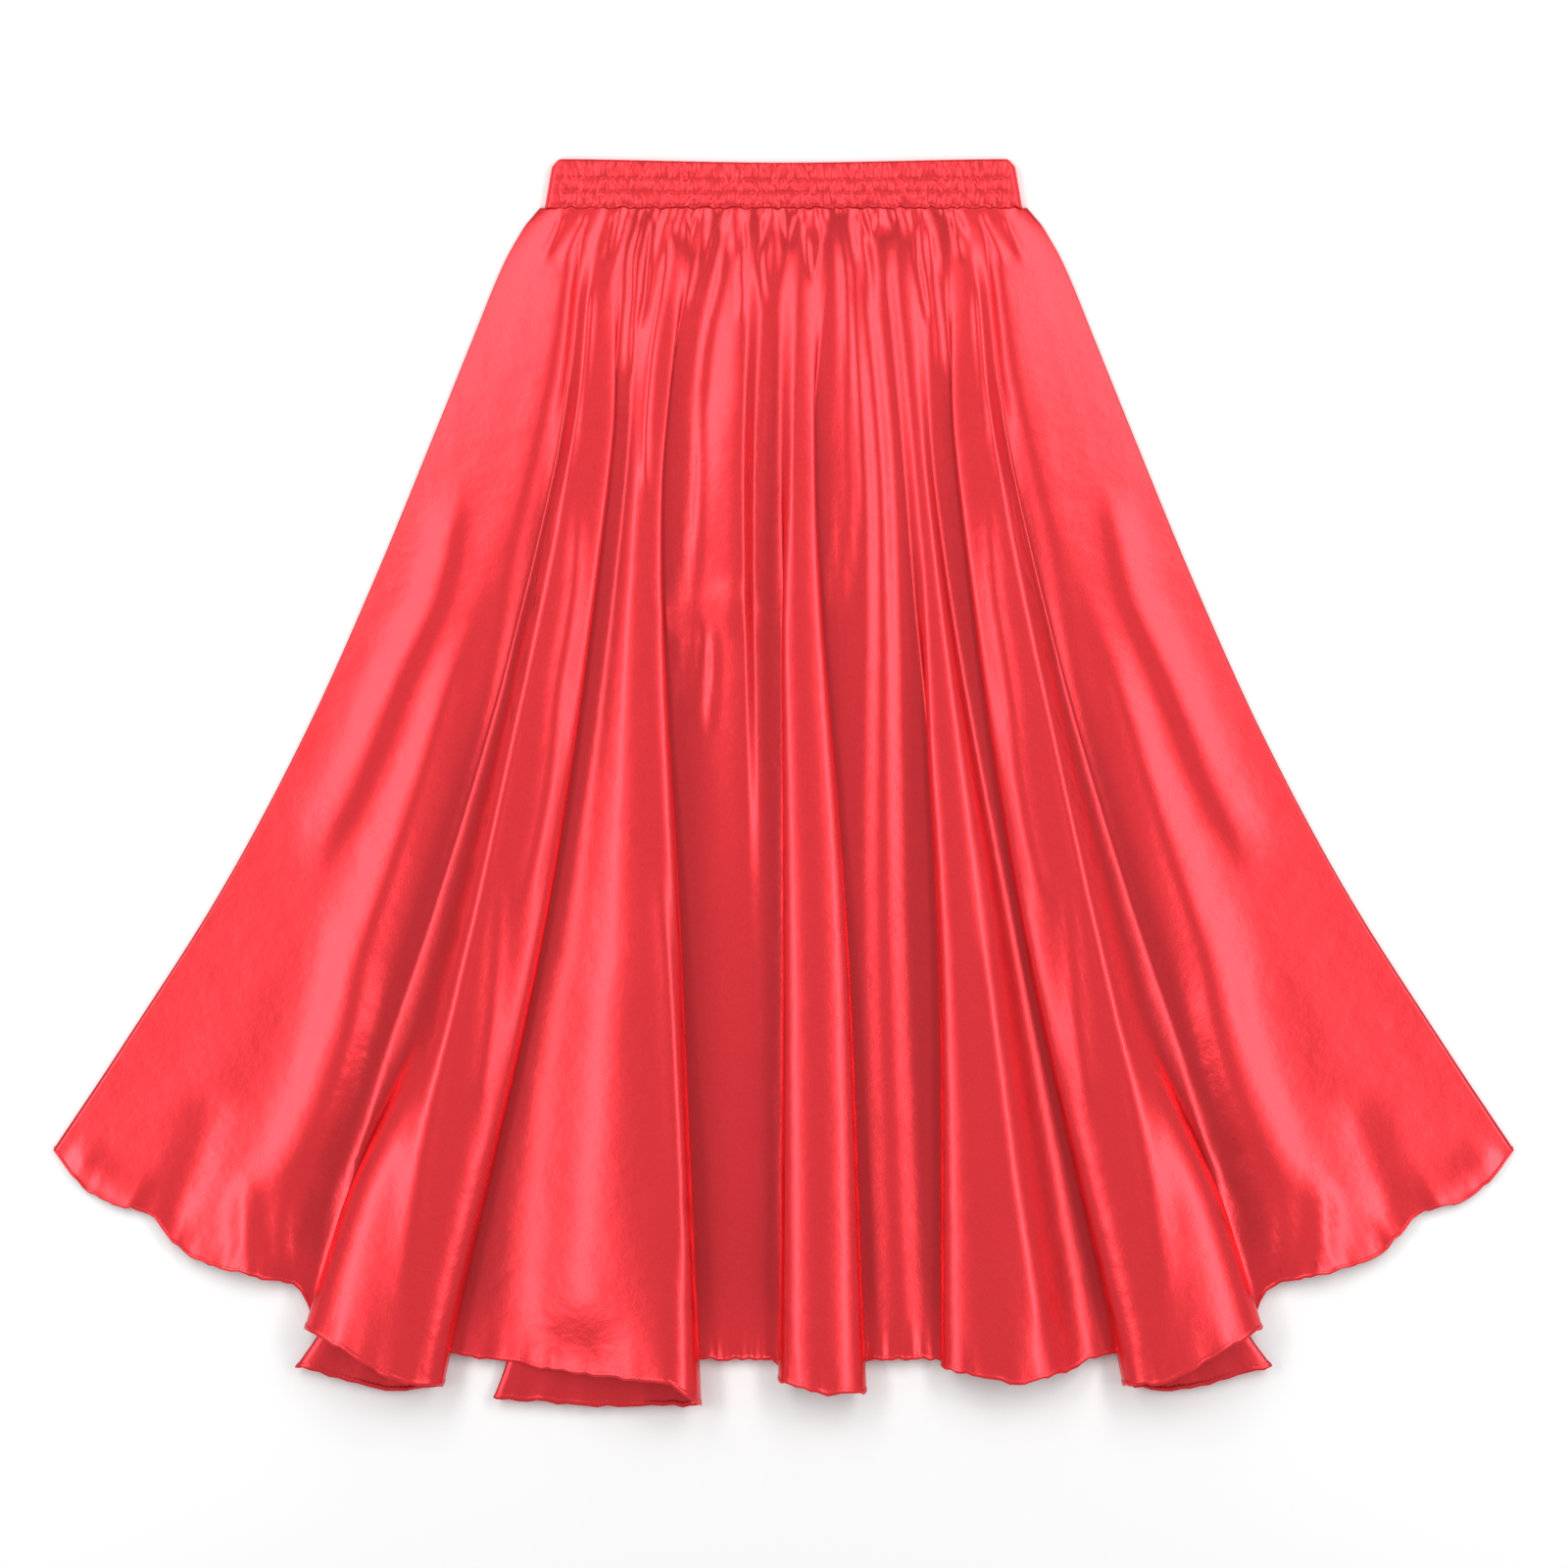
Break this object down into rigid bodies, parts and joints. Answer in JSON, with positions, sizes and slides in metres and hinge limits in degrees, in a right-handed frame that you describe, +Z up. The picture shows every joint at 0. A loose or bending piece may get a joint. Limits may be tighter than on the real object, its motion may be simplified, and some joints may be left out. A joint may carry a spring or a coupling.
{
  "type": "circle skirt",
  "caption": "Midi-length satin circle skirt with a shirred elastic waistband, laid out flat front side up, with soft flutes opening towards a thin rolled hem.",
  "frame": {"origin": "middle of the laid-out skirt's outline box, on the surface that it lies on", "axes": "+Y along the skirt from hem to waist, +X to the right as seen from above with the waist away, +Z up out of the front"},
  "size_m": [0.9542, 0.8154, 0.0335],
  "materials": {
    "satin": "lightly crumpled satin weave, soft directional sheen",
    "band_satin": "the same satin, shirred over elastic with three rows of stitching"
  },
  "bodies": {
    "root": {"skirt_front": "satin", "skirt_back": "satin", "waistband": "band_satin"}
  },
  "joints": []
}
